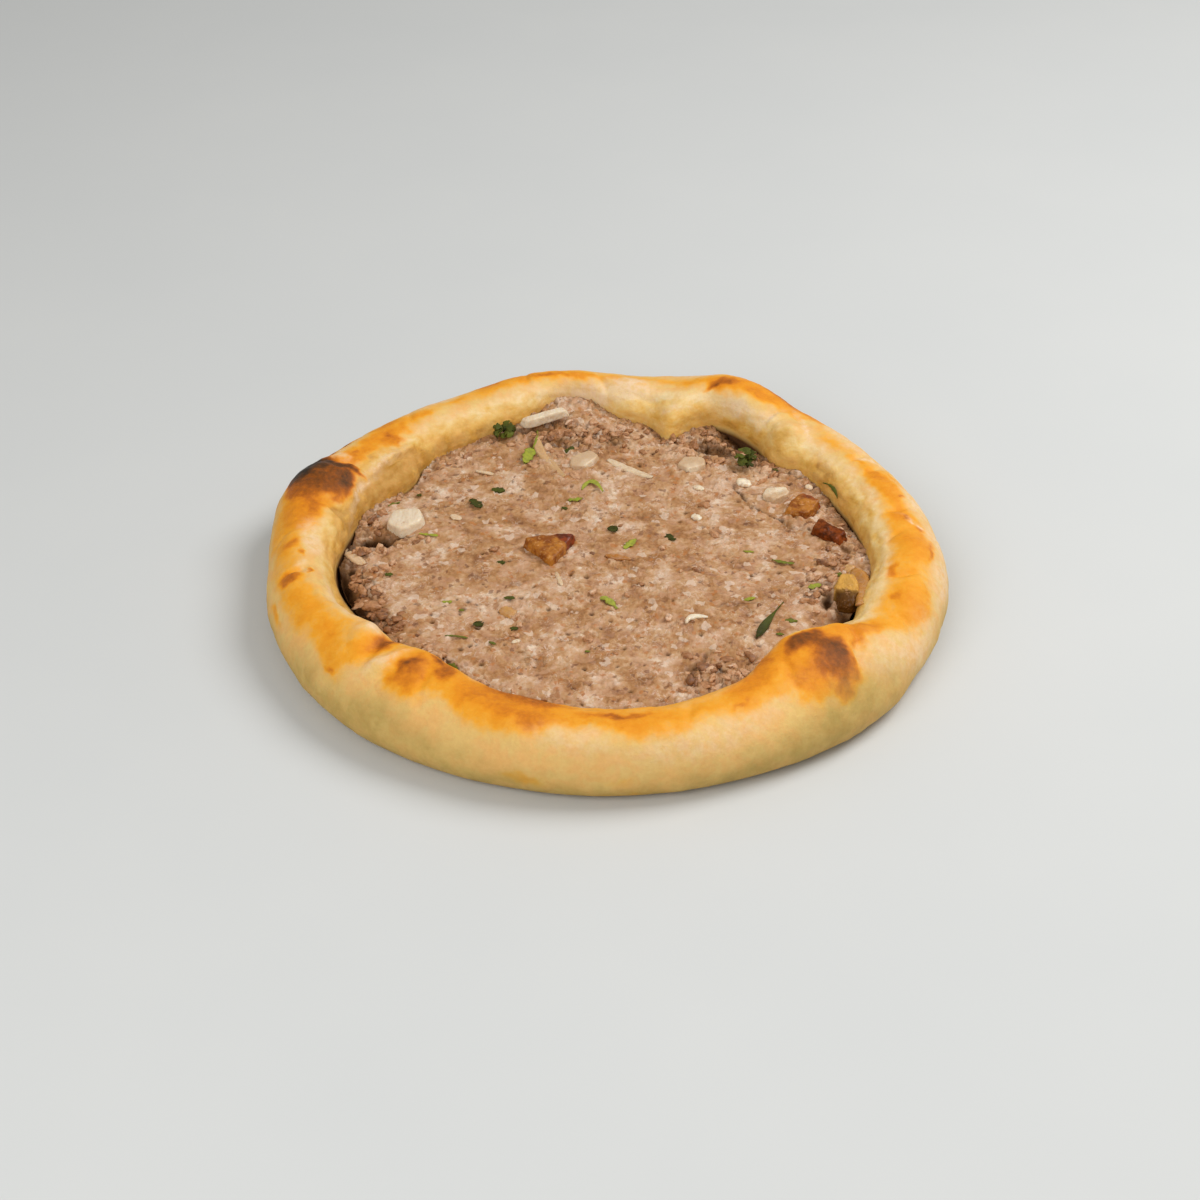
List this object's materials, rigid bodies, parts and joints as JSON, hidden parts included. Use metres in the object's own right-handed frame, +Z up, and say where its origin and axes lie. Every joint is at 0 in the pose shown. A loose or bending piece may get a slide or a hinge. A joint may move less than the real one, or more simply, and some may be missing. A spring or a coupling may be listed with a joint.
{
  "type": "sfiha",
  "caption": "Round open-faced baked flatbread with a puffed, browned, hand-pinched rim, filled with a level of minced meat with bits of tomato, onion and parsley.",
  "frame": {"origin": "middle of the flat underside, which is the middle of the bounding box at its lowest plane", "axes": "+Z up out of the well, -Y towards the eater, +X to the eater's right"},
  "size_m": [0.1262, 0.1254, 0.0164],
  "materials": {
    "dough": "baked dough, cream sides with golden to brown toasted crest, satin",
    "meat": "baked minced meat, pinkish brown, moist and finely crumbled",
    "tomato": "baked tomato flesh, moist, amber to dark red",
    "onion": "cooked onion, moist, translucent cream",
    "onion_baked": "browned onion, moist, translucent amber",
    "parsley": "baked parsley leaf, dark green"
  },
  "bodies": {
    "root": {"crust": "dough", "filling": "meat", "tomato_middle": "tomato", "tomato_right_back": "tomato", "tomato_right": "tomato", "onion_left": "onion", "onion_strip_back": "onion", "onion_back": "onion", "onion_back_right": "onion", "onion_right": "onion", "onion_slice_right": "onion_baked", "parsley_back_left": "parsley", "parsley_back_right": "parsley"}
  },
  "joints": []
}
